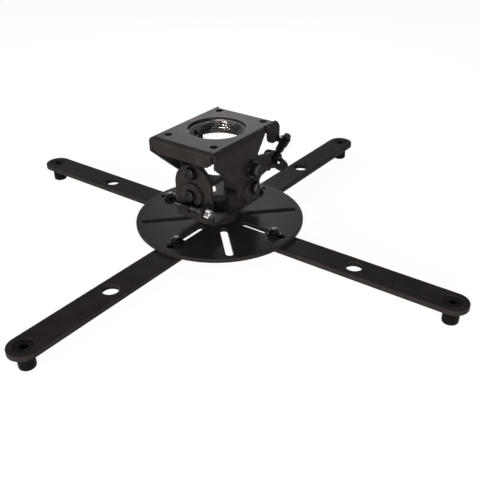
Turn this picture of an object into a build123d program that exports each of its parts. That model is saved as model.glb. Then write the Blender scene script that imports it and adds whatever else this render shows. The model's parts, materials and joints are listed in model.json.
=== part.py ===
from build123d import *
import math
import os

os.makedirs("parts", exist_ok=True)

# A ceiling mount for a projector, standing on its four feet. Z is up, X runs to the right-hand arm,
# the origin is on the floor below the middle of the disc. Millimetres and degrees.

# Disc
disc_diameter = 152.4
disc_thickness = 4.0
disc_edge = 0.6
slot_count = 8
slot_inner_tip = 24.0
slot_rim_land = 5.2

# Arms and feet
arm_width = 25.4
arm_thickness = 4.8
arm_edge = 0.5
arm_reach = 163.0
clamp_inset = 11.0
middle_hole_offset = 79.0
middle_hole_diameter = 14.3
foot_diameter = 13.2
foot_height = 14.2
foot_bore = 6.6
bush_head_diameter = 15.0
bush_head_height = 1.8
bush_head_recess = 0.6
bush_tube_diameter = 9.6

# Screws and nuts: thread diameter, width across flats, head and nut heights
m6 = 6.0
m6_flats = 10.0
m6_head = 4.0
m6_nut = 5.0
m6_thin_nut = 3.2
m6_washer_diameter = 12.5
m6_washer = 1.2
m6_wide_washer_diameter = 16.0
m6_wide_washer = 1.6
m10 = 10.0
m10_flats = 16.0
m10_head = 6.0
m10_nut = 8.0
thread_end = 1.5
m6_point = 0.6
m10_point = 1.0

# Clearances
running_clearance = 0.05
slot_clearance = 0.3
seat_clearance = 0.1

# Swivel and base bracket
swivel_diameter = 35.0
swivel_height = 8.5
sheet = 3.0
base_width = 40.0
base_depth = 70.0
base_bend = 5.0
pivot_height = 47.5
wall_rise = 6.5

# Pitch movement
pitch_limit = 15.0
slot_spare_angle = 1.0
pitch_lock_drop = 20.0
lever_radius = 11.0
lever_tail = 35.0
lever_half_width = 6.5
lever_key_angle = 9.0
pitch_screw_drop = 28.5
pitch_screw_diameter = 5.0
pitch_pin_diameter = 5.0
pitch_fork_slot = 6.5
fork_land = 1.5
pitch_nut_length = 8.0
pitch_nut_height = 6.4
pitch_nut_gap = 1.5
pitch_knob_diameter = 8.6
pitch_knob_length = 6.5
pitch_knob_flutes = 14
ear_length = 14.0
ear_height = 11.0
ear_corner = 4.0

# Knuckle
knuckle_y_width = 32.0
knuckle_x_width = 26.0
knuckle_plate_drop = 27.0
knuckle_x_rise = 10.0
knuckle_web_drop = 8.5
knuckle_hole_diameter = 29.0
knuckle_corner = 6.0

# Head bracket
head_width = 72.0
head_front = 48.0
head_back = 43.0
head_rise = 29.0
head_bend = 5.0
head_hole_diameter = 7.0
head_hole_x = 48.5
head_hole_y = 69.5
strip_depth = 13.0
strip_bend = 4.0
strip_corner = 7.0
strip_end_gap = 4.5
relief_diameter = 5.2
flange_front = 46.5
flange_step = 13.5
flange_corner_y = 20.5
flange_corner_drop = 8.0
lobe_radius = 12.5
lobe_drop = 15.0
flange_waist_y = 10.0
flange_waist_rise = 10.0
flange_back_y = 20.0
flange_relief_y = 24.0
tab_front = 27.0
tab_drop = 17.0
tab_corner = 7.0

# Threaded collar for the ceiling pipe
pipe_bore = 47.2
collar_wall = 3.4
collar_spigot_wall = 1.8
collar_height = 11.5
collar_spigot_height = 1.2
collar_chamfer = 1.0
set_screw_diameter = 5.0
set_screw_height = 4.5
set_screw_recess = 0.8

# Roll movement
roll_limit = 8.0
roll_lock_drop = 16.5
roll_plate_drop = 20.5
roll_plate_radius = 10.5
roll_plate = 2.5
roll_rod_diameter = 5.0
roll_rod_slope = 0.56
roll_rod_y = 42.5
roll_sleeve_diameter = 7.4
roll_head_flats = 6.0
lug_offset = 5.5
lug_diameter = 8.8
lug_length = 7.0
lug_below_plate = 17.0
wing_drop = 8.0
wing_length = 26.0
wing_width = 14.5
wing_shift_x = 2.0
wing_shift_y = 0.75
wing_sheet = 3.0
wing_slot_length = 14.0
wing_slot_width = 8.8
wing_neck_width = 8.0
wing_arm_end = 35.2
roll_nut_diameter = 11.0
roll_nut_height = 3.6
roll_nut_gap = 1.2

# Heights worked out from the sizes above
arm_top = foot_height + arm_thickness
disc_top = arm_top + disc_thickness
web_bottom = disc_top + swivel_height
web_top = web_bottom + sheet
pivot_z = web_bottom + pivot_height
plate_top = pivot_z + head_rise
plate_bottom = plate_top - sheet

# Distances worked out from the sizes above
slot_outer_tip = disc_diameter / 2 - slot_rim_land
clamp_circle = slot_outer_tip - clamp_inset
slot_width = m6 + 2 * slot_clearance
base_half = base_depth / 2
base_inner = base_half - sheet
knuckle_y = base_inner
head_half = head_width / 2
knuckle_x = head_half - sheet
strip_end = head_half - strip_end_gap
collar_diameter = pipe_bore + 2 * collar_wall
collar_spigot_diameter = pipe_bore + 2 * collar_spigot_wall
lever_face = base_half + sheet
pitch_screw_y = lever_face + pitch_nut_gap + pitch_nut_length / 2
pitch_screw_z = pivot_z - pitch_screw_drop
roll_tilt = math.degrees(math.atan(roll_rod_slope))


def facing_x(side, x, z, y=0.0):
    """A plane that looks outwards along X, with its second axis up."""
    return Plane(origin=(side * x, y, z), x_dir=(0, side, 0), z_dir=(side, 0, 0))


def facing_y(side, y, z, x=0.0):
    """A plane that looks outwards along Y, with its second axis up."""
    return Plane(origin=(x, side * y, z), x_dir=(-side, 0, 0), z_dir=(0, side, 0))


def slot_about_pivot(radius, half_angle):
    """The centre line of a slot that hangs below a pivot at the origin."""
    return CenterArc((0, 0), radius, -90 - half_angle, 2 * half_angle)


# Centre lines of the slots, below a pivot at their sketch's origin
wall_slot_line = slot_about_pivot(pitch_lock_drop, pitch_limit + lever_key_angle + slot_spare_angle)
key_line = slot_about_pivot(pitch_lock_drop, lever_key_angle)
flange_slot_line = slot_about_pivot(roll_lock_drop, roll_limit + slot_spare_angle)


def save(node, builder):
    builder.part.label = node
    export_step(builder.part, f"parts/{node}.step")


# Disc with its radial slots
with BuildPart() as adapter_disc:
    with BuildSketch(Plane.XY.offset(arm_top)):
        Circle(disc_diameter / 2)
        Circle(m10 / 2 + seat_clearance, mode=Mode.SUBTRACT)
        with PolarLocations((slot_inner_tip + slot_outer_tip) / 2, slot_count):
            SlotOverall(slot_outer_tip - slot_inner_tip, slot_width, mode=Mode.SUBTRACT)
    extrude(amount=disc_thickness)
    rims = adapter_disc.edges().filter_by(GeomType.CIRCLE)
    chamfer(rims.filter_by(lambda edge: edge.radius > slot_outer_tip), disc_edge)
save("adapter_disc", adapter_disc)

# Arms, each with its clamp screw and its foot
arm_turns = {"right": 0, "back": 90, "left": 180, "front": 270}
for side, turn in arm_turns.items():
    floor_plane = Plane.XY.rotated((0, 0, turn))
    arm_middle = clamp_circle + arm_reach / 2
    foot_circle = clamp_circle + arm_reach

    with BuildPart() as arm:
        with BuildSketch(floor_plane.offset(foot_height)):
            with Locations((arm_middle, 0)):
                SlotCenterToCenter(arm_reach, arm_width)
            with Locations((clamp_circle, 0)):
                Circle(m6 / 2 + running_clearance, mode=Mode.SUBTRACT)
            with Locations((clamp_circle + middle_hole_offset, 0)):
                Circle(middle_hole_diameter / 2, mode=Mode.SUBTRACT)
            with Locations((foot_circle, 0)):
                Circle(bush_tube_diameter / 2 + seat_clearance, mode=Mode.SUBTRACT)
        extrude(amount=arm_thickness)
        bush_seat = bush_head_height + bush_head_recess
        with BuildSketch(floor_plane.offset(arm_top)):
            with Locations((foot_circle, 0)):
                Circle(bush_head_diameter / 2 + seat_clearance)
        extrude(amount=-bush_seat, mode=Mode.SUBTRACT)
        top_edges = arm.faces().sort_by(Axis.Z)[-1].outer_wire().edges()
        chamfer(top_edges, arm_edge)
    save(f"arm_{side}", arm)

    with BuildPart() as clamp_bolt:
        with BuildSketch(floor_plane.offset(foot_height)):
            with Locations((clamp_circle, 0)):
                RegularPolygon(m6_flats / 2, 6, major_radius=False)
        extrude(amount=-m6_head)
        with BuildSketch(floor_plane.offset(foot_height)):
            with Locations((clamp_circle, 0)):
                Circle(m6 / 2)
        extrude(amount=arm_thickness + disc_thickness + m6_washer + m6_thin_nut + thread_end)
        chamfer(clamp_bolt.faces().sort_by(Axis.Z)[-1].edges(), m6_point)
    save(f"clamp_bolt_{side}", clamp_bolt)

    with BuildPart() as clamp_washer:
        with BuildSketch(floor_plane.offset(disc_top)):
            with Locations((clamp_circle, 0)):
                Circle(m6_washer_diameter / 2)
                Circle(m6 / 2 + seat_clearance, mode=Mode.SUBTRACT)
        extrude(amount=m6_washer)
    save(f"clamp_washer_{side}", clamp_washer)

    with BuildPart() as clamp_nut:
        with BuildSketch(floor_plane.offset(disc_top + m6_washer)):
            with Locations((clamp_circle, 0)):
                RegularPolygon(m6_flats / 2, 6, major_radius=False)
                Circle(m6 / 2 + seat_clearance, mode=Mode.SUBTRACT)
        extrude(amount=m6_thin_nut)
    save(f"clamp_nut_{side}", clamp_nut)

    with BuildPart() as foot_bush:
        with BuildSketch(floor_plane.offset(arm_top - bush_head_recess)):
            with Locations((foot_circle, 0)):
                Circle(bush_head_diameter / 2)
                Circle(foot_bore / 2, mode=Mode.SUBTRACT)
        extrude(amount=-bush_head_height)
        with BuildSketch(floor_plane.offset(foot_height)):
            with Locations((foot_circle, 0)):
                Circle(bush_tube_diameter / 2)
                Circle(foot_bore / 2, mode=Mode.SUBTRACT)
        extrude(amount=arm_thickness - bush_seat)
    save(f"foot_bush_{side}", foot_bush)

    with BuildPart() as foot_spacer:
        with BuildSketch(floor_plane):
            with Locations((foot_circle, 0)):
                Circle(foot_diameter / 2)
                Circle(foot_bore / 2, mode=Mode.SUBTRACT)
        extrude(amount=foot_height)
        chamfer(foot_spacer.faces().sort_by(Axis.Z)[0].outer_wire().edges(), arm_edge)
    save(f"foot_spacer_{side}", foot_spacer)

# Swivel under the base bracket
with BuildPart() as swivel_spacer:
    with BuildSketch(Plane.XY.offset(disc_top)):
        Circle(swivel_diameter / 2)
        Circle(m10 / 2 + seat_clearance, mode=Mode.SUBTRACT)
    extrude(amount=swivel_height)
    chamfer(swivel_spacer.faces().sort_by(Axis.Z)[-1].outer_wire().edges(), disc_edge)
save("swivel_spacer", swivel_spacer)

with BuildPart() as swivel_bolt:
    with BuildSketch(Plane.XY.offset(web_top)):
        RegularPolygon(m10_flats / 2, 6, major_radius=False)
    extrude(amount=m10_head)
    with BuildSketch(Plane.XY.offset(web_top)):
        Circle(m10 / 2)
    extrude(amount=-(sheet + swivel_height + disc_thickness + m10_nut + thread_end))
    chamfer(swivel_bolt.faces().sort_by(Axis.Z)[0].edges(), m10_point)
save("swivel_bolt", swivel_bolt)

with BuildPart() as swivel_nut:
    with BuildSketch(Plane.XY.offset(arm_top)):
        RegularPolygon(m10_flats / 2, 6, major_radius=False)
        Circle(m10 / 2 + seat_clearance, mode=Mode.SUBTRACT)
    extrude(amount=-m10_nut)
save("swivel_nut", swivel_nut)

# Base bracket: a folded channel with two tall walls and an ear for the pitch screw
base_half_width = base_width / 2
wall_top = pivot_z + wall_rise
with BuildPart() as base_bracket:
    with BuildSketch(Plane.YZ.offset(-base_half_width)):
        with BuildLine():
            FilletPolyline(
                (-base_half, wall_top),
                (-base_half, web_bottom),
                (base_half, web_bottom),
                (base_half, wall_top),
                radius=base_bend,
            )
            Line((base_half, wall_top), (base_inner, wall_top))
            FilletPolyline(
                (base_inner, wall_top),
                (base_inner, web_top),
                (-base_inner, web_top),
                (-base_inner, wall_top),
                radius=base_bend - sheet,
            )
            Line((-base_inner, wall_top), (-base_half, wall_top))
        make_face()
    extrude(amount=base_width)
    with BuildSketch(Plane.XZ.offset(-base_half)):
        with Locations((0, pivot_z)):
            Circle(m6 / 2 + running_clearance)
    extrude(amount=base_depth, mode=Mode.SUBTRACT)
    with BuildSketch(Plane.XZ.offset(-base_half).shift_origin((0, base_half, pivot_z))):
        SlotArc(wall_slot_line, slot_width)
    extrude(amount=base_depth, mode=Mode.SUBTRACT)
    with BuildSketch(Plane.XY.offset(web_bottom)):
        Circle(m10 / 2 + running_clearance)
    extrude(amount=sheet, mode=Mode.SUBTRACT)
    wall_corners = base_bracket.edges().filter_by(Axis.Y).group_by(Axis.Z)[-1]
    fillet(wall_corners, base_half_width - seat_clearance)
    ear_middle = base_half + ear_length / 2
    with BuildSketch(Plane.YZ.offset(base_half_width - sheet)):
        with Locations((-ear_middle + sheet / 2, pitch_screw_z)):
            RectangleRounded(ear_length + sheet, ear_height, ear_corner)
        with Locations((-base_half + sheet / 2, pitch_screw_z)):
            Rectangle(sheet, ear_height)
        with Locations((-pitch_screw_y, pitch_screw_z)):
            Circle(pitch_screw_diameter / 2 + running_clearance, mode=Mode.SUBTRACT)
    extrude(amount=sheet)
save("base_bracket", base_bracket)

# Knuckle: two pairs of plates on a cross-shaped web, and the wing that the roll screw works on
web_z = pivot_z - knuckle_web_drop - sheet
wing_tilt = math.radians(roll_tilt)
lug_x = head_half + lug_offset
lug_z = plate_top - lug_below_plate
wing_z = pivot_z - wing_drop
wing_x = lug_x - (lug_z - wing_z) * roll_rod_slope
wing_plane = Plane(
    origin=(wing_x, roll_rod_y, wing_z),
    x_dir=(math.cos(wing_tilt), 0, -math.sin(wing_tilt)),
    z_dir=(math.sin(wing_tilt), 0, math.cos(wing_tilt)),
)
with BuildPart() as knuckle:
    with BuildSketch(Plane.XY.offset(web_z)):
        Rectangle(knuckle_y_width, 2 * knuckle_y)
        Rectangle(2 * knuckle_x, knuckle_x_width)
        Circle(knuckle_hole_diameter / 2, mode=Mode.SUBTRACT)
    extrude(amount=sheet)
    y_plate_height = knuckle_plate_drop + wall_rise
    y_plate_z = pivot_z + wall_rise - y_plate_height / 2
    for y in (-knuckle_y + sheet, knuckle_y):
        with BuildSketch(Plane.XZ.offset(-y)) as y_plate:
            with Locations((0, y_plate_z)):
                Rectangle(knuckle_y_width, y_plate_height)
            plate_corners = y_plate.vertices().group_by(Axis.Y)
            fillet(plate_corners[-1], knuckle_y_width / 2 - seat_clearance)
            fillet(y_plate.vertices().group_by(Axis.Y)[0], knuckle_corner)
        extrude(amount=sheet)
    x_plate_height = knuckle_plate_drop + knuckle_x_rise
    x_plate_z = pivot_z + knuckle_x_rise - x_plate_height / 2
    for x in (-knuckle_x, knuckle_x - sheet):
        with BuildSketch(Plane.YZ.offset(x)):
            with Locations((0, x_plate_z)):
                RectangleRounded(knuckle_x_width, x_plate_height, knuckle_corner)
        extrude(amount=sheet)
    arm_root = knuckle_x_width / 2 - knuckle_corner
    with BuildSketch(Plane.YZ.offset(knuckle_x - sheet)):
        with BuildLine():
            Polyline(
                (arm_root, pivot_z + knuckle_x_rise - knuckle_corner / 2),
                (wing_arm_end, pivot_z + wing_sheet / 2),
                (wing_arm_end, wing_z - wing_sheet - wing_sheet / 2),
                (arm_root, wing_z - wing_sheet - knuckle_corner),
                close=True,
            )
        make_face()
    extrude(amount=sheet)
    with BuildSketch(wing_plane.offset(-wing_sheet / 2)):
        with Locations((wing_shift_x, wing_shift_y)):
            SlotOverall(wing_length, wing_width)
        neck_back = wing_shift_y
        neck_front = wing_arm_end - roll_rod_y - sheet
        with Locations((knuckle_x - sheet / 2 - wing_x, (neck_front + neck_back) / 2)):
            Rectangle(wing_neck_width, neck_back - neck_front)
        SlotOverall(wing_slot_length, wing_slot_width, mode=Mode.SUBTRACT)
    extrude(amount=wing_sheet)
    with BuildSketch(Plane.XZ.offset(-knuckle_y)):
        with Locations((0, pivot_z)):
            Circle(m6 / 2 + seat_clearance)
    extrude(amount=2 * knuckle_y, mode=Mode.SUBTRACT)
    with BuildSketch(Plane.XZ.offset(knuckle_y - sheet).shift_origin((0, -knuckle_y + sheet, pivot_z))):
        key_width = m6 + 2 * seat_clearance
        SlotArc(key_line, key_width)
    extrude(amount=sheet, mode=Mode.SUBTRACT)
    with BuildSketch(Plane.XZ.offset(-knuckle_y)):
        with Locations((0, pivot_z - pitch_lock_drop)):
            Circle(m6 / 2 + seat_clearance)
    extrude(amount=sheet, mode=Mode.SUBTRACT)
    with BuildSketch(Plane.YZ.offset(-knuckle_x)):
        with Locations((0, pivot_z)):
            Circle(m6 / 2 + seat_clearance)
        with Locations((0, pivot_z - roll_lock_drop)):
            Circle(m6 / 2 + seat_clearance)
    extrude(amount=2 * knuckle_x, mode=Mode.SUBTRACT)
save("knuckle", knuckle)

# Pitch pivot screws, washers and nuts
with BuildPart() as pitch_pivot_bolts:
    for side in (-1, 1):
        with BuildSketch(facing_y(side, base_half + m6_washer, pivot_z)):
            RegularPolygon(m6_flats / 2, 6, major_radius=False)
        extrude(amount=m6_head)
        with BuildSketch(facing_y(side, base_half + m6_washer, pivot_z)):
            Circle(m6 / 2)
        extrude(amount=-(m6_washer + 2 * sheet + m6_nut + thread_end))
save("pitch_pivot_bolts", pitch_pivot_bolts)

with BuildPart() as pitch_pivot_washers:
    for side in (-1, 1):
        with BuildSketch(facing_y(side, base_half, pivot_z)):
            Circle(m6_washer_diameter / 2)
            Circle(m6 / 2 + seat_clearance, mode=Mode.SUBTRACT)
        extrude(amount=m6_washer)
save("pitch_pivot_washers", pitch_pivot_washers)

with BuildPart() as pitch_pivot_nuts:
    for side in (-1, 1):
        with BuildSketch(facing_y(side, knuckle_y - sheet, pivot_z)):
            RegularPolygon(m6_flats / 2, 6, major_radius=False)
            Circle(m6 / 2 + seat_clearance, mode=Mode.SUBTRACT)
        extrude(amount=-m6_nut)
save("pitch_pivot_nuts", pitch_pivot_nuts)

# Pitch lever with the key that runs in the front wall's slot, and its lock screws
lock_z = pivot_z - pitch_lock_drop
with BuildPart() as pitch_lever:
    with BuildSketch(facing_y(-1, base_half, pivot_z)):
        with Locations((0, -pitch_lock_drop)):
            Circle(lever_radius)
        tail_height = lever_tail - pitch_lock_drop
        with Locations((0, -pitch_lock_drop - tail_height / 2)):
            Rectangle(2 * lever_half_width, tail_height)
        fork_top = pitch_lock_drop + m6 / 2 + pitch_fork_slot / 2 + fork_land
        fork_height = lever_tail - fork_top
        with Locations((0, -fork_top)):
            Circle(pitch_fork_slot / 2, mode=Mode.SUBTRACT)
        with Locations((0, -fork_top - fork_height / 2)):
            Rectangle(pitch_fork_slot, fork_height, mode=Mode.SUBTRACT)
    extrude(amount=sheet)
    with BuildSketch(facing_y(-1, base_half, pivot_z)):
        SlotArc(key_line, m6)
    extrude(amount=-2 * sheet)
    with BuildSketch(facing_y(-1, base_half - 2 * sheet, lock_z)):
        Circle(m6 / 2 + seat_clearance)
    extrude(amount=3 * sheet, mode=Mode.SUBTRACT)
save("pitch_lever", pitch_lever)

with BuildPart() as pitch_lock_bolts:
    for side, face in ((-1, lever_face), (1, base_half + m6_washer)):
        with BuildSketch(facing_y(side, face, lock_z)):
            RegularPolygon(m6_flats / 2, 6, major_radius=False)
        extrude(amount=m6_head)
        with BuildSketch(facing_y(side, face, lock_z)):
            Circle(m6 / 2)
        extrude(amount=-(face - knuckle_y + sheet + m6_nut + thread_end))
save("pitch_lock_bolts", pitch_lock_bolts)

with BuildPart() as pitch_lock_washer:
    with BuildSketch(facing_y(1, base_half, lock_z)):
        Circle(m6_washer_diameter / 2)
        Circle(m6 / 2 + seat_clearance, mode=Mode.SUBTRACT)
    extrude(amount=m6_washer)
save("pitch_lock_washer", pitch_lock_washer)

with BuildPart() as pitch_lock_nuts:
    for side in (-1, 1):
        with BuildSketch(facing_y(side, knuckle_y - sheet, lock_z)):
            RegularPolygon(m6_flats / 2, 6, major_radius=False)
            Circle(m6 / 2 + seat_clearance, mode=Mode.SUBTRACT)
        extrude(amount=-m6_nut)
save("pitch_lock_nuts", pitch_lock_nuts)

# Pitch screw in the ear, and the nut whose pin runs in the lever's fork
nut_travel = pitch_screw_drop * math.tan(math.radians(pitch_limit))
screw_reach = nut_travel + pitch_nut_length / 2 + thread_end
ear_inner = base_half_width - sheet
with BuildPart() as pitch_screw:
    with BuildSketch(facing_x(1, -screw_reach, pitch_screw_z, -pitch_screw_y)):
        Circle(pitch_screw_diameter / 2)
    extrude(amount=screw_reach + base_half_width + slot_clearance)
    with BuildSketch(facing_x(1, ear_inner - slot_clearance, pitch_screw_z, -pitch_screw_y)):
        Circle(pitch_screw_diameter / 2 + thread_end)
    extrude(amount=-2 * thread_end + slot_clearance)
    with BuildSketch(facing_x(1, base_half_width + slot_clearance, pitch_screw_z, -pitch_screw_y)):
        Circle(pitch_knob_diameter / 2)
        with PolarLocations(pitch_knob_diameter / 2, pitch_knob_flutes):
            Circle(thread_end / 2, mode=Mode.SUBTRACT)
    extrude(amount=pitch_knob_length)
save("pitch_screw", pitch_screw)

with BuildPart() as pitch_nut:
    with BuildSketch(facing_x(1, -pitch_nut_length / 2, pitch_screw_z, -pitch_screw_y)):
        Rectangle(pitch_nut_length, pitch_nut_height)
        Circle(pitch_screw_diameter / 2 + slot_clearance, mode=Mode.SUBTRACT)
    extrude(amount=pitch_nut_length)
    chamfer(pitch_nut.edges().filter_by(Axis.X), disc_edge)
    pin_length = pitch_screw_y - pitch_nut_length / 2 - base_half - slot_clearance
    with BuildSketch(facing_y(-1, base_half + slot_clearance, pitch_screw_z)):
        Circle(pitch_pin_diameter / 2)
    extrude(amount=pin_length)
save("pitch_nut", pitch_nut)

# Head bracket: a folded plate with two long flanges, two strips and a tab for the roll screw
lobe_z = pivot_z - lobe_drop
flange_corner_z = pivot_z - flange_corner_drop
with BuildPart() as top_bracket:
    with BuildSketch(Plane.XZ.offset(-head_back)):
        with BuildLine():
            FilletPolyline(
                (-head_half, lobe_z - lobe_radius),
                (-head_half, plate_top),
                (head_half, plate_top),
                (head_half, lobe_z - lobe_radius),
                radius=head_bend,
            )
            Line((head_half, lobe_z - lobe_radius), (head_half - sheet, lobe_z - lobe_radius))
            FilletPolyline(
                (head_half - sheet, lobe_z - lobe_radius),
                (head_half - sheet, plate_bottom),
                (-head_half + sheet, plate_bottom),
                (-head_half + sheet, lobe_z - lobe_radius),
                radius=head_bend - sheet,
            )
            Line((-head_half + sheet, lobe_z - lobe_radius), (-head_half, lobe_z - lobe_radius))
        make_face()
    extrude(amount=head_front + head_back)
    bend_x = head_half - head_bend
    for x, has_tab in ((-head_half, False), (bend_x, True)):
        with BuildSketch(Plane.YZ.offset(x)):
            with Locations((0, plate_top - head_width)):
                Rectangle(2 * head_width, 2 * head_width)
            with BuildLine(mode=Mode.PRIVATE) as flange_outline:
                Polyline(
                    (lobe_radius, lobe_z),
                    (flange_back_y, flange_corner_z),
                    (flange_waist_y if has_tab else flange_corner_y, pivot_z + flange_waist_rise),
                    (flange_relief_y if has_tab else flange_front, plate_top),
                    (-flange_front, plate_top),
                    (-flange_front, plate_top - flange_step),
                    (-flange_corner_y, flange_corner_z),
                    (-lobe_radius, lobe_z),
                )
                ThreePointArc((-lobe_radius, lobe_z), (0, lobe_z - lobe_radius), (lobe_radius, lobe_z))
            make_face(flange_outline.edges(), mode=Mode.SUBTRACT)
            if has_tab:
                tab_width = head_back - tab_front
                with Locations((tab_front + tab_width / 2, plate_top - tab_drop / 2)):
                    RectangleRounded(tab_width, tab_drop, tab_corner, mode=Mode.SUBTRACT)
                with Locations((tab_front + tab_width / 2, plate_top - tab_drop / 4)):
                    Rectangle(tab_width, tab_drop / 2, mode=Mode.SUBTRACT)
        extrude(amount=head_bend, mode=Mode.SUBTRACT)
    strip_width = strip_end + head_half - head_bend
    strip_bottom = plate_top - strip_depth
    fold_reach = strip_bend + sheet
    for outward, edge, start in ((-1, head_front, -bend_x), (1, head_back, -strip_end)):
        with BuildSketch(Plane.XY.offset(plate_top)):
            with Locations((start + strip_width / 2, outward * edge)):
                Rectangle(strip_width, 2 * fold_reach)
        extrude(amount=-sheet, mode=Mode.SUBTRACT)
        fold = outward * (edge - fold_reach)
        outer = outward * edge
        inner = outward * (edge - sheet)
        with BuildSketch(Plane.YZ.offset(start)):
            with BuildLine():
                FilletPolyline((fold, plate_top), (outer, plate_top), (outer, strip_bottom), radius=strip_bend)
                Line((outer, strip_bottom), (inner, strip_bottom))
                FilletPolyline(
                    (inner, strip_bottom),
                    (inner, plate_bottom),
                    (fold, plate_bottom),
                    radius=strip_bend - sheet,
                )
                Line((fold, plate_bottom), (fold, plate_top))
            make_face()
        extrude(amount=strip_width)
    strip_ends = top_bracket.edges().filter_by(Axis.Y)
    strip_ends = strip_ends.filter_by_position(Axis.Z, strip_bottom - seat_clearance, strip_bottom + seat_clearance)
    fillet(strip_ends, strip_corner)
    with BuildSketch(Plane.XY.offset(plate_top)):
        Circle(collar_spigot_diameter / 2 + running_clearance)
        with GridLocations(head_hole_x, head_hole_y, 2, 2):
            Circle(head_hole_diameter / 2)
    extrude(amount=-sheet, mode=Mode.SUBTRACT)
    for side in (-1, 1):
        with BuildSketch(facing_x(side, head_half - sheet, pivot_z)):
            Circle(m6 / 2 + running_clearance)
            SlotArc(flange_slot_line, slot_width)
        extrude(amount=sheet, mode=Mode.SUBTRACT)
    with BuildSketch(Plane.XY.offset(plate_top)):
        with Locations((head_half, (flange_relief_y + tab_front) / 2)):
            Circle(relief_diameter / 2)
    extrude(amount=-head_bend, mode=Mode.SUBTRACT)
save("top_bracket", top_bracket)

# Collar that screws onto the ceiling pipe, and its set screw
collar_bottom = plate_bottom - collar_height
set_screw_z = collar_bottom + set_screw_height
with BuildPart() as threaded_collar:
    with BuildSketch(Plane.XY.offset(collar_bottom)):
        Circle(collar_diameter / 2)
    extrude(amount=collar_height)
    with BuildSketch(Plane.XY.offset(plate_bottom)):
        Circle(collar_spigot_diameter / 2)
    extrude(amount=collar_spigot_height)
    with BuildSketch(Plane.XY.offset(collar_bottom)):
        Circle(pipe_bore / 2)
    extrude(amount=collar_height + collar_spigot_height, mode=Mode.SUBTRACT)
    mouth = threaded_collar.faces().sort_by(Axis.Z)[-1].inner_wires()[0].edges()
    chamfer(mouth, collar_chamfer)
    with BuildSketch(facing_x(-1, pipe_bore / 2 - sheet, set_screw_z)):
        Circle(set_screw_diameter / 2)
    extrude(amount=collar_diameter / 2 - pipe_bore / 2 + 2 * sheet, mode=Mode.SUBTRACT)
save("threaded_collar", threaded_collar)

with BuildPart() as collar_set_screw:
    with BuildSketch(facing_x(-1, pipe_bore / 2 + set_screw_recess, set_screw_z)):
        Circle(set_screw_diameter / 2 - running_clearance)
    extrude(amount=collar_diameter / 2 - pipe_bore / 2 + set_screw_recess)
save("collar_set_screw", collar_set_screw)

# Roll pivot screws on a pair of wide washers each, and lock screws
roll_washers = 2 * m6_wide_washer
with BuildPart() as roll_pivot_bolts:
    for side in (-1, 1):
        with BuildSketch(facing_x(side, head_half + roll_washers, pivot_z)):
            RegularPolygon(m6_flats / 2, 6, major_radius=False)
        extrude(amount=m6_head)
        with BuildSketch(facing_x(side, head_half + roll_washers, pivot_z)):
            Circle(m6 / 2)
        extrude(amount=-(roll_washers + 2 * sheet + m6_nut + thread_end))
save("roll_pivot_bolts", roll_pivot_bolts)

with BuildPart() as roll_pivot_washers:
    for side in (-1, 1):
        with BuildSketch(facing_x(side, head_half, pivot_z)):
            Circle(m6_wide_washer_diameter / 2)
            Circle(m6 / 2 + seat_clearance, mode=Mode.SUBTRACT)
        extrude(amount=roll_washers)
save("roll_pivot_washers", roll_pivot_washers)

with BuildPart() as roll_pivot_nuts:
    for side in (-1, 1):
        with BuildSketch(facing_x(side, knuckle_x - sheet, pivot_z)):
            RegularPolygon(m6_flats / 2, 6, major_radius=False)
            Circle(m6 / 2 + seat_clearance, mode=Mode.SUBTRACT)
        extrude(amount=-m6_nut)
save("roll_pivot_nuts", roll_pivot_nuts)

roll_lock_z = pivot_z - roll_lock_drop
with BuildPart() as roll_lock_plates:
    for side in (-1, 1):
        with BuildSketch(facing_x(side, head_half, roll_lock_z)):
            with Locations((0, roll_lock_drop - roll_plate_drop)):
                Circle(roll_plate_radius)
            Circle(m6 / 2 + seat_clearance, mode=Mode.SUBTRACT)
        extrude(amount=roll_plate)
save("roll_lock_plates", roll_lock_plates)

with BuildPart() as roll_lock_bolts:
    for side in (-1, 1):
        with BuildSketch(facing_x(side, head_half + roll_plate, roll_lock_z)):
            RegularPolygon(m6_flats / 2, 6, major_radius=False)
        extrude(amount=m6_head)
        with BuildSketch(facing_x(side, head_half + roll_plate, roll_lock_z)):
            Circle(m6 / 2)
        extrude(amount=-(roll_plate + 2 * sheet + m6_nut + thread_end))
save("roll_lock_bolts", roll_lock_bolts)

with BuildPart() as roll_lock_nuts:
    for side in (-1, 1):
        with BuildSketch(facing_x(side, knuckle_x - sheet, roll_lock_z)):
            RegularPolygon(m6_flats / 2, 6, major_radius=False)
            Circle(m6 / 2 + seat_clearance, mode=Mode.SUBTRACT)
        extrude(amount=-m6_nut)
save("roll_lock_nuts", roll_lock_nuts)

# Roll screw in its lug on the tab, with the two nuts that hold the wing between them
lug_plane = Plane(
    origin=(lug_x, roll_rod_y, lug_z),
    x_dir=wing_plane.x_dir,
    z_dir=wing_plane.z_dir,
)
wing_distance = (lug_z - wing_z) / math.cos(wing_tilt)
roll_travel = roll_rod_y * math.tan(math.radians(roll_limit)) * math.cos(wing_tilt)
nut_face = wing_sheet / 2 + roll_nut_gap
with BuildPart() as roll_lug:
    with BuildSketch(lug_plane.offset(-lug_length / 2)):
        Circle(lug_diameter / 2)
    extrude(amount=lug_length)
    foot_width = head_back - roll_rod_y + lug_diameter / 2
    with BuildSketch(Plane.YZ.offset(head_half)):
        with Locations((head_back - foot_width / 2, lug_z + lug_diameter / 4)):
            Rectangle(foot_width, lug_diameter / 2)
    extrude(amount=lug_offset)
    with BuildSketch(lug_plane.offset(-lug_length)):
        Circle(roll_rod_diameter / 2 + running_clearance)
    extrude(amount=2 * lug_length, mode=Mode.SUBTRACT)
save("roll_lug", roll_lug)

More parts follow.
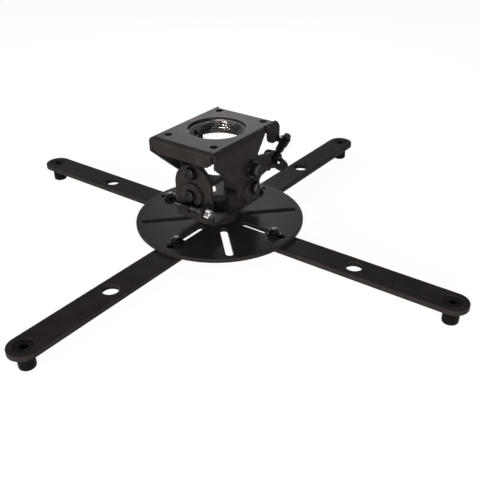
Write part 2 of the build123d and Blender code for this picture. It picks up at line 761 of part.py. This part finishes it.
with BuildPart() as roll_screw:
    with BuildSketch(lug_plane.offset(lug_length / 2 + 2 * thread_end)):
        Circle(roll_rod_diameter / 2)
    rod_end = wing_distance + nut_face + roll_nut_height + roll_travel + thread_end
    extrude(amount=-(lug_length / 2 + 2 * thread_end + rod_end))
    with BuildSketch(lug_plane.offset(lug_length / 2 + slot_clearance)):
        RegularPolygon(roll_head_flats / 2, 6, major_radius=False)
    extrude(amount=m6_thin_nut)
    with BuildSketch(lug_plane.offset(-lug_length / 2 - slot_clearance)):
        Circle(roll_sleeve_diameter / 2)
    sleeve_end = wing_distance - nut_face - roll_nut_height - roll_travel - slot_clearance
    extrude(amount=-(sleeve_end - lug_length / 2 - slot_clearance))
save("roll_screw", roll_screw)

with BuildPart() as roll_nuts:
    for direction in (-1, 1):
        with BuildSketch(wing_plane.offset(direction * nut_face)):
            Circle(roll_nut_diameter / 2)
            Circle(roll_rod_diameter / 2 + slot_clearance, mode=Mode.SUBTRACT)
        extrude(amount=direction * roll_nut_height)
save("roll_nuts", roll_nuts)
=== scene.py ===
import json
import math

import bmesh
import bpy
from mathutils import Matrix, Vector


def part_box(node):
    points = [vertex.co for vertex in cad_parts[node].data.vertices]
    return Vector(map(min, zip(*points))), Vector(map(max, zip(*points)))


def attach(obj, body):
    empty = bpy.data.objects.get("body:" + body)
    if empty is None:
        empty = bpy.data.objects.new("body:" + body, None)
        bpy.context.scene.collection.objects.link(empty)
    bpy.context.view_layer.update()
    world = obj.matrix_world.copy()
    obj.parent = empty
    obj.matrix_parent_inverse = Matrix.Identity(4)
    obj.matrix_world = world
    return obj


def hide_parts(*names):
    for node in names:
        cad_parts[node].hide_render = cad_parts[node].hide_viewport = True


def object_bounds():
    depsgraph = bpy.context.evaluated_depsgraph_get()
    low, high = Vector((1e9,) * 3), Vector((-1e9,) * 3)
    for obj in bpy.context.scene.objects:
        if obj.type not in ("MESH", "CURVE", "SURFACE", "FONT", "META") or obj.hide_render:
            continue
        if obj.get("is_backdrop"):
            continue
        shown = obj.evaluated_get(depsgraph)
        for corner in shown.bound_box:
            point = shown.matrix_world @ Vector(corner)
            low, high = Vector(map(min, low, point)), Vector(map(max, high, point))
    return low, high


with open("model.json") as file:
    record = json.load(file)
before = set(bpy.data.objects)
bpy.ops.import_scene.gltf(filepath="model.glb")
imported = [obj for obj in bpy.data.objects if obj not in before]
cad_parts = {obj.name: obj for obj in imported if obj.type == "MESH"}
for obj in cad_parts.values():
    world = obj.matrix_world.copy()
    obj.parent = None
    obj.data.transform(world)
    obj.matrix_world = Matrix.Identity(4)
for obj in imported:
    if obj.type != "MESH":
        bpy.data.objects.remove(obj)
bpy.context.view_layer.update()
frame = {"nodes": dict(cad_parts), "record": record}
nodes = frame["nodes"]
node_slots = {row["node"]: row["material_slot"] for row in frame["record"]["subparts"]}
mm = 0.001

# Directions and axis numbers in the row frame
up = (0, 0, 1)
down = (0, 0, -1)
rightwards = (1, 0, 0)
leftwards = (-1, 0, 0)
backwards = (0, 1, 0)
along_x = 0
along_y = 1

# Camera of the photograph, in millimetres in the row frame
camera_place = (350.3, -433.1, 325.2)
camera_right = (0.8029, 0.5959, -0.0152)
camera_down = (0.2928, -0.4164, -0.8607)
camera_forward = (-0.5192, 0.6867, -0.5088)
camera_lens = 51.75
sensor_width = 36.0
nearest_seen = 10.0

# Fasteners, in millimetres: thread, width across flats, head, nut, pitch and threaded length
m6 = {"thread": 6.0, "flats": 10.0, "head": 4.0, "nut": 5.0, "pitch": 1.0, "threaded": 8.0}
m10 = {"thread": 10.0, "flats": 16.0, "head": 6.0, "nut": 8.0, "pitch": 1.5, "threaded": 12.0}

# Bolt heads: the chamfer's and the foot's share of the half width, and the dish as (share, depth) pairs
head_chamfer = 0.88
head_foot_share = 0.9
head_foot_rise = 0.12
head_dish = ((0.72, 0.05), (0.6, 0.3))
chamfer_slope = math.tan(math.radians(30))

# Threads, in pitches: depth, run-out into the plain shank, and length and depth of a bolt's point
thread_depth = 0.55
thread_runout = 0.1
point_length = 0.6
point_depth = 0.75

# Steepness of a thread's flanks: above 1 they end in a flat root
flank_gain = 1.25

# Nuts and washers, in millimetres
nut_clearance = 0.12
nut_countersink = 0.45
washer_hole = 3.1
washer_edge = 0.3
pivot_washer_radius = 6.25
pivot_washer_height = 1.2
wide_washer_radius = 8.0
wide_washer_height = 1.6
seat_gap = 0.01

# Feet, in millimetres: the rounding below is given as (inset, height) pairs
foot_hole = 3.3
foot_hole_chamfer = 0.3
foot_top_chamfer = 0.35
foot_rounding = ((1.6, 0.0), (0.75, 0.22), (0.2, 0.8), (0.0, 1.6))

# Threaded collar, in millimetres
collar_spigot = 25.4
collar_bore = 23.6
collar_chamfer = 0.7
spigot_height = 1.2
spigot_chamfer = 0.2
bore_mouth_below = 1.2
bore_mouth_above = 1.0
pipe_pitch = 2.21
set_screw_clearance = 0.05
cutter_overrun = 3.0

# Pitch screw, in millimetres: the ear that holds it, the clip behind the ear and the thread
ear_thickness = 3.0
ear_gap = 0.3
clip_length = 2.7
clip_radius = 4.0
clip_chamfer = 0.3
screw_radius = 2.5
screw_pitch = 0.9
screw_point_inset = 0.6
screw_point_length = 0.5
thread_overlap = 0.1
shank_in_knob = 0.2

# Knob of the pitch screw, in millimetres: outlines as (inset from its radius, height over the ear) pairs
knob_length = 6.5
knob_foot = ((1.0, 0.0), (0.6, 0.3))
knob_top = ((0.7, knob_length - 0.5), (1.4, knob_length))
knurl_start = 0.8
knurl_end = knob_length - 1.2
knurl_teeth = 22
knurl_depth = 0.5

# Recess in the knob's end, as (inset from the screw's radius, height over the ear) pairs
knob_recess = ((-0.3, knob_length), (0.2, knob_length - 1.6))

# Fineness of the meshes: points round a ring, and rows to a pitch
turned_steps = 48
hex_steps = 48
thread_steps = 32
collar_steps = 96
knurl_steps = 2 * knurl_teeth
thread_rows = 6

# Edges: rounding widths in millimetres, and the angles that tell flat faces, smooth faces and edges apart
edge_width = 0.4
fine_edge_width = 0.2
edge_segments = 2
weld_reach = 1e-6
flat_angle = math.radians(0.5)
edge_angle = math.radians(38)
crease_angle = math.radians(32)

# Textures: noise per metre, places of the ramps' ends, and relief in metres
mottle_noise = {"Scale": 90.0, "Detail": 4.0, "Roughness": 0.6}
grain_noise = {"Detail": 3.0, "Roughness": 0.55}
stain_noise = {"Scale": 140.0, "Detail": 5.0, "Roughness": 0.65}
ring_noise = {"Scale": 1800.0, "Detail": 2.0, "Roughness": 0.5}
ring_squeeze = (0.04, 0.04, 1.0)
mottle_places = (0.3, 0.72)
grain_places = (0.25, 0.75)
stain_places = (0.28, 0.75)
ring_places = (0.2, 0.8)
coat_relief = 0.00012
ring_relief = {"Strength": 0.25, "Distance": 0.00008}

# Floor, background and lamps: sizes in metres
white = (1.0, 1.0, 1.0, 1.0)
lamp_colour = (1.0, 0.965, 0.945)
floor_half = 8.0
floor_colour = (0.86, 0.86, 0.86, 1.0)
floor_rough = 0.9
floor_glow = 1.18
floor_glow_share = 0.8
world_light = 0.06
world_white = 1.0


def shader(name):
    """A new material, a maker of its links, its Principled shader and a maker of its nodes."""
    material = bpy.data.materials.new(name)
    material.use_nodes = True
    tree = material.node_tree
    principled = tree.nodes["Principled BSDF"]

    def add(kind, **values):
        node = tree.nodes.new(kind)
        for key, value in values.items():
            if key in node.inputs:
                node.inputs[key].default_value = value
            else:
                setattr(node, key, value)
        return node

    return material, tree.links.new, principled, add


def ramp(add, places, values):
    """A colour ramp between two greys or two colours."""
    node = add("ShaderNodeValToRGB")
    for element, place, value in zip(node.color_ramp.elements, places, values):
        element.position = place
        element.color = (*value, 1.0) if isinstance(value, tuple) else (value, value, value, 1.0)
    return node


def textured(link, principled, patches, grain, colours, gloss, relief):
    """Links one noise to a shader's colour, and a finer one to its gloss and relief."""
    link(patches.outputs["Fac"], colours.inputs["Fac"])
    link(grain.outputs["Fac"], gloss.inputs["Fac"])
    link(grain.outputs["Fac"], relief.inputs["Height"])
    link(colours.outputs["Color"], principled.inputs["Base Color"])
    link(gloss.outputs["Color"], principled.inputs["Roughness"])
    link(relief.outputs["Normal"], principled.inputs["Normal"])


def coated(name, dark, light, rough, grain_scale, bump, specular):
    """Powder coat, black oxide or nylon: mottled colour, uneven gloss and a fine orange peel."""
    material, link, principled, add = shader(name)
    place = add("ShaderNodeTexCoord")
    mottle = add("ShaderNodeTexNoise", **mottle_noise)
    grain = add("ShaderNodeTexNoise", Scale=grain_scale, **grain_noise)
    colours = ramp(add, mottle_places, (dark, light))
    gloss = ramp(add, grain_places, rough)
    relief = add("ShaderNodeBump", Strength=bump, Distance=coat_relief)
    for texture in (mottle, grain):
        link(place.outputs["Object"], texture.inputs["Vector"])
    textured(link, principled, mottle, grain, colours, gloss, relief)
    principled.inputs["Specular IOR Level"].default_value = specular
    return material


def machined(name, dark, light, rough):
    """Turned steel: fine rings, faint stains and uneven polish."""
    material, link, principled, add = shader(name)
    place = add("ShaderNodeTexCoord")
    stains = add("ShaderNodeTexNoise", **stain_noise)
    rings = add("ShaderNodeTexNoise", **ring_noise)
    squeeze = add("ShaderNodeMapping", Scale=ring_squeeze)
    colours = ramp(add, stain_places, (dark, light))
    gloss = ramp(add, ring_places, rough)
    relief = add("ShaderNodeBump", **ring_relief)
    link(place.outputs["Object"], stains.inputs["Vector"])
    link(place.outputs["Object"], squeeze.inputs["Vector"])
    link(squeeze.outputs["Vector"], rings.inputs["Vector"])
    textured(link, principled, stains, rings, colours, gloss, relief)
    principled.inputs["Metallic"].default_value = 1.0
    return material


powder = coated(
    "black_powder_coat",
    dark=(0.0185, 0.0160, 0.0149),
    light=(0.0290, 0.0253, 0.0238),
    rough=(0.26, 0.35),
    grain_scale=1500.0,
    bump=0.25,
    specular=0.03,
)
# A lighter, less glossy copy of the powder coat for the arms: its extra lightness is painted light, which
# lifts the arms' lit side faces
lightened_arm_powder = coated(
    "black_powder_lightened_arms",
    dark=(0.0240, 0.0208, 0.0194),
    light=(0.0377, 0.0329, 0.0309),
    rough=(0.26, 0.35),
    grain_scale=1500.0,
    bump=0.25,
    specular=0.012,
)
oxide = coated(
    "black_oxide",
    dark=(0.0034, 0.0031, 0.003),
    light=(0.0075, 0.0069, 0.0066),
    rough=(0.09, 0.18),
    grain_scale=2600.0,
    bump=0.1,
    specular=0.13,
)
nylon = coated(
    "black_nylon",
    dark=(0.003, 0.003, 0.0029),
    light=(0.006, 0.0058, 0.0056),
    rough=(0.42, 0.6),
    grain_scale=1900.0,
    bump=0.3,
    specular=0.03,
)
phosphate = coated(
    "black_phosphate",
    dark=(0.005, 0.0047, 0.0046),
    light=(0.011, 0.0104, 0.0101),
    rough=(0.5, 0.66),
    grain_scale=2600.0,
    bump=0.2,
    specular=0.03,
)
steel = machined(
    "machined_steel", dark=(0.075, 0.0705, 0.067), light=(0.125, 0.1175, 0.112), rough=(0.18, 0.3)
)
dull = machined("dull_steel", dark=(0.035, 0.033, 0.032), light=(0.07, 0.067, 0.065), rough=(0.34, 0.48))
zinc = machined("bright_zinc", dark=(0.14, 0.136, 0.132), light=(0.3, 0.292, 0.285), rough=(0.12, 0.24))

# Each slot's coat, and the coats of nodes that differ from their slot, by the start of their names
slot_coats = {"black_steel": powder, "dark_hardware": oxide, "bright_steel": steel, "black_nylon": nylon}
# The arms take the lightened copy of the powder coat, whose extra lightness is painted light
own_coats = {"foot_bush": phosphate, "swivel_bolt": phosphate, "arm_": lightened_arm_powder}


def coat_of(name):
    """The material of a node."""
    for start, coat in own_coats.items():
        if name.startswith(start):
            return coat
    return slot_coats[node_slots[name]]


# Small nodes with narrower rounded edges, and nodes with corners too narrow for the full width
fine_nodes = ("pitch_nut", "roll_nuts", "roll_screw", "roll_lug", "collar_set_screw", "foot_bush")
pinched_nodes = ("top_bracket", "roll_lug")


def dress_node(name):
    """Gives a CAD node its coat and small rounded edges."""
    node = nodes[name]
    node.data.materials.clear()
    node.data.materials.append(coat_of(name))
    weld = node.modifiers.new("weld", "WELD")
    weld.merge_threshold = weld_reach
    flatten = node.modifiers.new("flatten", "DECIMATE")
    flatten.decimate_type = "DISSOLVE"
    flatten.angle_limit = flat_angle
    edges = node.modifiers.new("edges", "BEVEL")
    edges.width = (fine_edge_width if name.startswith(fine_nodes) else edge_width) * mm
    edges.segments = edge_segments
    edges.limit_method = "ANGLE"
    edges.angle_limit = edge_angle
    edges.use_clamp_overlap = name in pinched_nodes
    for polygon in node.data.polygons:
        polygon.use_smooth = True
    smooth = node.modifiers.new("smooth", "WEIGHTED_NORMAL")
    smooth.keep_sharp = True


def frame_along(origin, outward, flats=up):
    """A matrix at an origin in millimetres, whose Z runs outward and whose Y leans to the flats' side."""
    z = Vector(outward).normalized()
    side = Vector(flats)
    y = (side - z * side.dot(z)).normalized()
    x = y.cross(z)
    matrix = Matrix((x, y, z)).transposed().to_4x4()
    matrix.translation = Vector(origin) * mm
    return matrix


def circle(radius, height, steps=turned_steps):
    """A ring of points round the local Z axis."""
    return [
        (radius * math.cos(math.tau * i / steps), radius * math.sin(math.tau * i / steps), height)
        for i in range(steps)
    ]


class Shape:
    """Collects rings of points, in millimetres in a local frame, and the faces between them."""

    def __init__(self):
        self.points = []
        self.faces = []

    def ring(self, points):
        """Adds points and gives their numbers."""
        first = len(self.points)
        self.points.extend(points)
        return list(range(first, first + len(points)))

    def band(self, low, high):
        """Adds faces between two rings with as many points."""
        count = len(low)
        for i in range(count):
            j = (i + 1) % count
            self.faces.append((low[i], low[j], high[j], high[i]))

    def loft(self, rings, hollow=False):
        """Joins rings in turn; a hollow form's last ring meets its first, and any other form is capped."""
        made = [self.ring(points) for points in rings]
        for low, high in zip(made, made[1:]):
            self.band(low, high)
        if hollow:
            self.band(made[-1], made[0])
        else:
            self.faces.append(tuple(made[0][::-1]))
            self.faces.append(tuple(made[-1]))

    def turned(self, profile, hollow=False):
        """A turned form from (radius, height) pairs."""
        self.loft([circle(radius, height) for radius, height in profile], hollow)

    def moved(self, matrix):
        """The points in the row frame, in metres."""
        return [matrix @ (Vector(point) * mm) for point in self.points]


def hexagon(flats, height, chamfer_from=None, sense=1.0):
    """A ring round a hexagon, two flats square to local Y; past chamfer_from, a cone cuts its corners."""
    points = []
    for i in range(hex_steps):
        angle = math.tau * i / hex_steps
        off = (angle % (math.pi / 3)) - math.pi / 6
        radius = flats / 2 / math.cos(off)
        drop = 0.0
        if chamfer_from is not None:
            drop = max(0.0, radius - chamfer_from) * chamfer_slope * sense
        points.append((radius * math.cos(angle), radius * math.sin(angle), height - drop))
    return points


def hex_head(shape, flats, height):
    """A forged hexagon head on the plane Z 0, with a chamfered and slightly dished top."""
    face = flats / 2 * head_chamfer
    rings = [
        circle(flats / 2 * head_foot_share, 0.0, hex_steps),
        hexagon(flats, head_foot_rise),
        hexagon(flats, height, face),
        circle(face, height, hex_steps),
    ]
    rings += [circle(face * share, height - depth, hex_steps) for share, depth in head_dish]
    shape.loft(rings)


def thread_rings(radius, start, end, pitch, steps=thread_steps, inward=False):
    """Rings of a right-handed V thread from one height to the other."""
    depth = thread_depth * pitch * (-1 if inward else 1)
    rows = max(2, round(abs(end - start) / pitch * thread_rows))
    rings = []
    for row in range(rows + 1):
        height = start + (end - start) * row / rows
        points = []
        for i in range(steps):
            turn = i / steps
            phase = (height / pitch - turn) % 1.0
            cut = abs(2 * phase - 1)
            r = radius - depth * min(1.0, cut * flank_gain)
            points.append((r * math.cos(math.tau * turn), r * math.sin(math.tau * turn), height))
        rings.append(points)
    return rings


def bolt(shape, size, length):
    """A hexagon head over Z 0 and a shank below it, plain and then threaded to a chamfered point."""
    hex_head(shape, size["flats"], size["head"])
    radius = size["thread"] / 2
    pitch = size["pitch"]
    plain = length - size["threaded"]
    rings = [circle(radius, 0.0, thread_steps), circle(radius, -plain, thread_steps)]
    rings += thread_rings(radius, -plain - thread_runout * pitch, -length + point_length * pitch, pitch)
    rings.append(circle(radius - point_depth * pitch, -length, thread_steps))
    shape.loft(rings[::-1])


def hex_nut(shape, size, height):
    """A nut on the plane Z 0, chamfered on both faces, with a countersunk bore."""
    flats = size["flats"]
    face = flats / 2 * head_chamfer
    bore = size["thread"] / 2 + nut_clearance
    mouth = bore + nut_countersink
    shape.loft(
        [
            circle(bore, nut_countersink, hex_steps),
            circle(mouth, 0.0, hex_steps),
            circle(face, 0.0, hex_steps),
            hexagon(flats, 0.0, face, -1.0),
            hexagon(flats, height, face),
            circle(face, height, hex_steps),
            circle(mouth, height, hex_steps),
            circle(bore, height - nut_countersink, hex_steps),
        ],
        hollow=True,
    )


def washer(shape, outer, height, base=0.0):
    """A flat ring with broken edges, a hair thinner than its CAD solid so that faces don't coincide."""
    foot = base + seat_gap
    top = base + height - seat_gap
    hole_edge = washer_edge / 2
    shape.turned(
        [
            (washer_hole, foot + hole_edge),
            (washer_hole + hole_edge, foot),
            (outer - washer_edge, foot),
            (outer, foot + washer_edge),
            (outer, top - washer_edge),
            (outer - washer_edge, top),
            (washer_hole + hole_edge, top),
            (washer_hole, top - hole_edge),
        ],
        hollow=True,
    )


def turned_foot(shape, radius, height):
    """A turned foot on the plane Z 0, rounded below, with a chamfered hole."""
    mouth = foot_hole + foot_hole_chamfer
    shape.turned(
        [
            (foot_hole, foot_hole_chamfer),
            (mouth, 0.0),
            *((radius - inset, rise) for inset, rise in foot_rounding),
            (radius, height - foot_top_chamfer),
            (radius - foot_top_chamfer, height),
            (mouth, height),
            (foot_hole, height - foot_hole_chamfer),
        ],
        hollow=True,
    )


def linked(name, data):
    """A new object in the scene."""
    made = bpy.data.objects.new(name, data)
    bpy.context.scene.collection.objects.link(made)
    return made


def bored(piece, shape, matrix):
    """Cuts a placed shape out of a piece's mesh."""
    mesh = bpy.data.meshes.new("cutter")
    mesh.from_pydata(shape.moved(matrix), [], shape.faces)
    cutter = linked("cutter", mesh)
    cut = piece.modifiers.new("hole", "BOOLEAN")
    cut.object = cutter
    graph = bpy.context.evaluated_depsgraph_get()
    holed = bpy.data.meshes.new_from_object(piece.evaluated_get(graph))
    piece.modifiers.clear()
    piece.data = holed
    bpy.data.objects.remove(cutter)


def write_piece(node, body, parts, coats=None, hole=None):
    """Joins placed shapes into one piece, which rides on a body and stands for a CAD node.

    The piece has its node's coat, unless coats are given, one for each shape.
    """
    name = f"{node}_detailed"
    points = []
    faces = []
    owners = []
    for number, (shape, matrix) in enumerate(parts):
        first = len(points)
        points.extend(shape.moved(matrix))
        owners.extend([number] * len(shape.faces))
        faces.extend(tuple(first + i for i in face) for face in shape.faces)
    mesh = bpy.data.meshes.new(name)
    mesh.from_pydata(points, [], faces)
    work = bmesh.new()
    work.from_mesh(mesh)
    bmesh.ops.recalc_face_normals(work, faces=work.faces)
    for edge in work.edges:
        if len(edge.link_faces) == 2:
            edge.smooth = edge.calc_face_angle() < crease_angle
    for face in work.faces:
        face.smooth = True
    work.to_mesh(mesh)
    work.free()
    for coat in coats or [coat_of(node)]:
        mesh.materials.append(coat)
    if coats:
        for polygon, owner in zip(mesh.polygons, owners):
            polygon.material_index = owner
    piece = linked(name, mesh)
    if hole:
        bored(piece, *hole)
    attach(piece, body)
    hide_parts(node)


def box_mm(node):
    """A node's box, in millimetres."""
    low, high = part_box(node)
    return low / mm, high / mm


def tip_of(node, axis, side):
    """How far in the solid on one side of a paired node reaches, in millimetres."""
    reach = [v.co[axis] / mm for v in nodes[node].data.vertices if v.co[axis] * side > 0]
    return min(reach) if side > 0 else max(reach)


def facing(middle, axis, side, place):
    """A matrix at a place on one axis, beside a pair's middle, that faces outwards."""
    seat = Vector(middle)
    seat[axis] = place
    outward = Vector((0, 0, 0))
    outward[axis] = side
    return frame_along(seat, outward)


def paired_bolts(node, axis, size):
    """Two bolts that point inwards along one axis, with their heads at the ends of the node's box."""
    low, high = box_mm(node)
    middle = (low + high) / 2
    parts = []
    for side, outer in ((-1, low[axis]), (1, high[axis])):
        seat = outer - side * size["head"]
        shape = Shape()
        bolt(shape, size, abs(seat - tip_of(node, axis, side)))
        parts.append((shape, facing(middle, axis, side, seat)))
    write_piece(node, "knuckle", parts)


def paired_rings(node, axis, maker):
    """Two nuts or sets of washers along one axis, each on its own solid's inner face."""
    low, high = box_mm(node)
    middle = (low + high) / 2
    parts = []
    for side in (-1, 1):
        shape = Shape()
        maker(shape)
        parts.append((shape, facing(middle, axis, side, tip_of(node, axis, side))))
    write_piece(node, "knuckle", parts)


def pin_nut(shape):
    """A full nut of the pins through the walls."""
    hex_nut(shape, m6, m6["nut"])


def pivot_washer(shape):
    """One washer of a pitch pivot."""
    washer(shape, pivot_washer_radius, pivot_washer_height)


def wide_washers(shape):
    """Two wide washers of a roll pivot, one on the other."""
    for base in (0.0, wide_washer_height):
        washer(shape, wide_washer_radius, wide_washer_height, base)


# Pins through the walls and flanges, with the axis that each pair lies along
pin_axes = {"pitch_pivot": along_y, "pitch_lock": along_y, "roll_pivot": along_x, "roll_lock": along_x}
for pin, axis in pin_axes.items():
    paired_bolts(f"{pin}_bolts", axis, m6)
for pin, axis in pin_axes.items():
    paired_rings(f"{pin}_nuts", axis, pin_nut)
paired_rings("pitch_pivot_washers", along_y, pivot_washer)
paired_rings("roll_pivot_washers", along_x, wide_washers)

# Clamps and feet of the four arms, with the side that each arm's flats lean to
across = {"right": backwards, "back": rightwards, "left": backwards, "front": rightwards}
for side, flats in across.items():
    clamp = f"clamp_{side}"
    low, high = box_mm(f"clamp_bolt_{side}")
    middle = (low + high) / 2
    seat = Vector((middle.x, middle.y, low.z + m6["head"]))
    shape = Shape()
    bolt(shape, m6, high.z - seat.z)
    write_piece(f"clamp_bolt_{side}", clamp, [(shape, frame_along(seat, down, flats))])

    low, high = box_mm(f"clamp_nut_{side}")
    seat.z = low.z
    shape = Shape()
    hex_nut(shape, m6, high.z - low.z)
    write_piece(f"clamp_nut_{side}", clamp, [(shape, frame_along(seat, up, flats))])

    low, high = box_mm(f"clamp_washer_{side}")
    seat.z = low.z
    shape = Shape()
    washer(shape, (high.x - low.x) / 2, high.z - low.z)
    write_piece(f"clamp_washer_{side}", clamp, [(shape, frame_along(seat, up, flats))])

    low, high = box_mm(f"foot_spacer_{side}")
    middle = (low + high) / 2
    shape = Shape()
    turned_foot(shape, (high.x - low.x) / 2, high.z)
    placed = frame_along((middle.x, middle.y, 0), up, flats)
    write_piece(f"foot_spacer_{side}", f"arm_{side}", [(shape, placed)])

# Swivel screw and its nut
low, high = box_mm("swivel_bolt")
seat = Vector((0, 0, high.z - m10["head"]))
shape = Shape()
bolt(shape, m10, seat.z - low.z)
write_piece("swivel_bolt", "disc", [(shape, frame_along(seat, up, backwards))])
low, high = box_mm("swivel_nut")
shape = Shape()
hex_nut(shape, m10, m10["nut"])
write_piece("swivel_nut", "disc", [(shape, frame_along((0, 0, low.z), up, backwards))])

# Washer of the back wall's lock
low, high = box_mm("pitch_lock_washer")
middle = (low + high) / 2
shape = Shape()
washer(shape, (high.x - low.x) / 2, high.y - low.y)
placed = frame_along((middle.x, low.y, middle.z), backwards)
write_piece("pitch_lock_washer", "knuckle", [(shape, placed)])

# Threaded collar: turned outside, with a pipe thread in its bore and a hole for the set screw
low, high = box_mm("threaded_collar")
collar_outer = (high.x - low.x) / 2
shoulder = high.z - spigot_height - seat_gap
outside = [
    (collar_bore + bore_mouth_below, low.z),
    (collar_outer - collar_chamfer, low.z),
    (collar_outer, low.z + collar_chamfer),
    (collar_outer, shoulder - seat_gap),
    (collar_spigot, shoulder),
    (collar_spigot, high.z - spigot_chamfer),
    (collar_spigot - spigot_chamfer, high.z),
    (collar_bore + bore_mouth_above, high.z),
]
thread_top = high.z - bore_mouth_above
thread_foot = low.z + bore_mouth_below
rings = [circle(radius, height, collar_steps) for radius, height in outside]
rings += thread_rings(collar_bore, thread_top, thread_foot, pipe_pitch, collar_steps, inward=True)
shape = Shape()
shape.loft(rings, hollow=True)
screw_low, screw_high = box_mm("collar_set_screw")
cutter_radius = (screw_high.z - screw_low.z) / 2 + set_screw_clearance
cutter = Shape()
cutter_ends = (collar_bore - cutter_overrun, collar_outer + cutter_overrun)
cutter.turned([(cutter_radius, height) for height in cutter_ends])
hole = (cutter, frame_along((0, 0, (screw_low.z + screw_high.z) / 2), leftwards))
write_piece("threaded_collar", "head", [(shape, frame_along((0, 0, 0), up, backwards))], hole=hole)


def knurled(radius, height):
    """A ring of pointed teeth round the local Z axis."""
    points = []
    for i in range(knurl_steps):
        r = radius - (knurl_depth if i % 2 else 0.0)
        angle = math.tau * i / knurl_steps
        points.append((r * math.cos(angle), r * math.sin(angle), height))
    return points


# Pitch screw: knurled knob, clip behind the ear and a threaded shank
low, high = box_mm("pitch_screw")
axis_y = (low.y + high.y) / 2
axis_z = (low.z + high.z) / 2
knob_radius = (high.y - low.y) / 2
ear_face = high.x - knob_length
clip_start = ear_face - ear_gap - ear_thickness - ear_gap
clip_end = clip_start - clip_length
rings = [circle(knob_radius - inset, ear_face + rise, knurl_steps) for inset, rise in knob_foot]
rings += [knurled(knob_radius, ear_face + rise) for rise in (knurl_start, knurl_end)]
rings += [circle(knob_radius - inset, ear_face + rise, knurl_steps) for inset, rise in knob_top]
rings += [circle(screw_radius - inset, ear_face + rise, knurl_steps) for inset, rise in knob_recess]
knob = Shape()
knob.loft(rings)
shank = Shape()
shank.turned(
    [
        (screw_radius, clip_end),
        (clip_radius - clip_chamfer, clip_end),
        (clip_radius, clip_end + clip_chamfer),
        (clip_radius, clip_start - clip_chamfer),
        (clip_radius - clip_chamfer, clip_start),
        (screw_radius, clip_start),
        (screw_radius, ear_face + shank_in_knob),
    ]
)
rings = [circle(screw_radius - screw_point_inset, low.x, thread_steps)]
rings += thread_rings(screw_radius, low.x + screw_point_length, clip_end + thread_overlap, screw_pitch)
shank.loft(rings)
placed = frame_along((0, axis_y, axis_z), rightwards)
write_piece("pitch_screw", "pitch_screw", [(knob, placed), (shank, placed)], [zinc, dull])

# The other CAD nodes keep their shape, with coats and small rounded edges
for name in nodes:
    if f"{name}_detailed" not in bpy.data.objects:
        dress_node(name)


def seen_white(tree):
    """A socket that is 1 for rays from the camera, off a gloss or through glass, and 0 for the rest."""
    paths = tree.nodes.new("ShaderNodeLightPath")
    seen = paths.outputs["Is Camera Ray"]
    for kind in ("Is Glossy Ray", "Is Transmission Ray"):
        either = tree.nodes.new("ShaderNodeMath")
        either.operation = "MAXIMUM"
        tree.links.new(seen, either.inputs[0])
        tree.links.new(paths.outputs[kind], either.inputs[1])
        seen = either.outputs["Value"]
    return seen


# Floor: pale and matt, and mostly white where it is seen, so that it keeps the shadow
corners = ((-1, -1), (1, -1), (1, 1), (-1, 1))
floor_mesh = bpy.data.meshes.new("floor")
floor_mesh.from_pydata([(x * floor_half, y * floor_half, 0) for x, y in corners], [], [(0, 1, 2, 3)])
floor = linked("floor", floor_mesh)
floor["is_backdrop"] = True
pale, link, principled, add = shader("pale_floor")
principled.inputs["Base Color"].default_value = floor_colour
principled.inputs["Roughness"].default_value = floor_rough
principled.inputs["Specular IOR Level"].default_value = 0.0
glow = add("ShaderNodeEmission", Color=white, Strength=floor_glow)
share = add("ShaderNodeMath", operation="MULTIPLY")
share.inputs[1].default_value = floor_glow_share
mix = add("ShaderNodeMixShader")
output = pale.node_tree.nodes["Material Output"]
link(seen_white(pale.node_tree), share.inputs[0])
link(share.outputs["Value"], mix.inputs["Fac"])
link(principled.outputs["BSDF"], mix.inputs[1])
link(glow.outputs["Emission"], mix.inputs[2])
link(mix.outputs["Shader"], output.inputs["Surface"])
floor_mesh.materials.append(pale)

# Background: white where it is seen, and a faint light on everything
world = bpy.data.worlds.new("studio")
bpy.context.scene.world = world
world.use_nodes = True
tree = world.node_tree
background = tree.nodes["Background"]
background.inputs["Color"].default_value = white
strength = tree.nodes.new("ShaderNodeMapRange")
strength.inputs["To Min"].default_value = world_light
strength.inputs["To Max"].default_value = world_white
tree.links.new(seen_white(tree), strength.inputs["Value"])
tree.links.new(strength.outputs["Result"], background.inputs["Strength"])


def softbox(name, place, aim, size, power, spread=180):
    """A warm white area light at a place in metres, turned towards a point, with its spread in degrees."""
    data = bpy.data.lights.new(name, "AREA")
    data.color = lamp_colour
    data.shape = "RECTANGLE"
    data.size, data.size_y = size
    data.energy = power
    data.spread = math.radians(spread)
    lamp = linked(name, data)
    lamp.location = place
    lamp.rotation_mode = "QUATERNION"
    lamp.rotation_quaternion = (Vector(aim) - Vector(place)).to_track_quat("-Z", "Y")


# Low wide boxes light the upright faces, the rim the tops, and a narrow lamp the collar's thread
softbox("key", place=(1.1, -1.16, 0.3), aim=(0, 0, 0.04), size=(2.2, 0.6), power=26)
softbox("fill", place=(-0.64, -1.5, 0.3), aim=(0, 0, 0.06), size=(1.6, 0.6), power=19.5)
softbox("top", place=(-0.3, -0.2, 1.6), aim=(0, 0, 0.05), size=(1.4, 1.4), power=0.6)
softbox(
    "collar_light",
    place=(-0.094, -0.163, 0.67),
    aim=(-0.008, 0.014, 0.1),
    size=(0.06, 0.07),
    power=0.016,
    spread=5,
)
softbox("strip_light", place=(0.03, -1.44, 0.75), aim=(0, 0, 0.08), size=(0.07, 1.0), power=3.0)
softbox("rim", place=(-0.425, 0.556, 0.43), aim=(0, 0, 0.08), size=(0.28, 0.2), power=0.84)

# Camera
lens = bpy.data.cameras.new("photo_camera")
lens.lens = camera_lens
lens.sensor_width = sensor_width
lens.clip_start = nearest_seen * mm
camera = linked("photo_camera", lens)
camera_up = [-v for v in camera_down]
camera_back = [-v for v in camera_forward]
turn = Matrix((camera_right, camera_up, camera_back)).transposed().to_4x4()
turn.translation = Vector(camera_place) * mm
camera.matrix_world = turn
bpy.context.scene.camera = camera

bpy.context.scene.view_settings.view_transform = "Standard"
low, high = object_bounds()
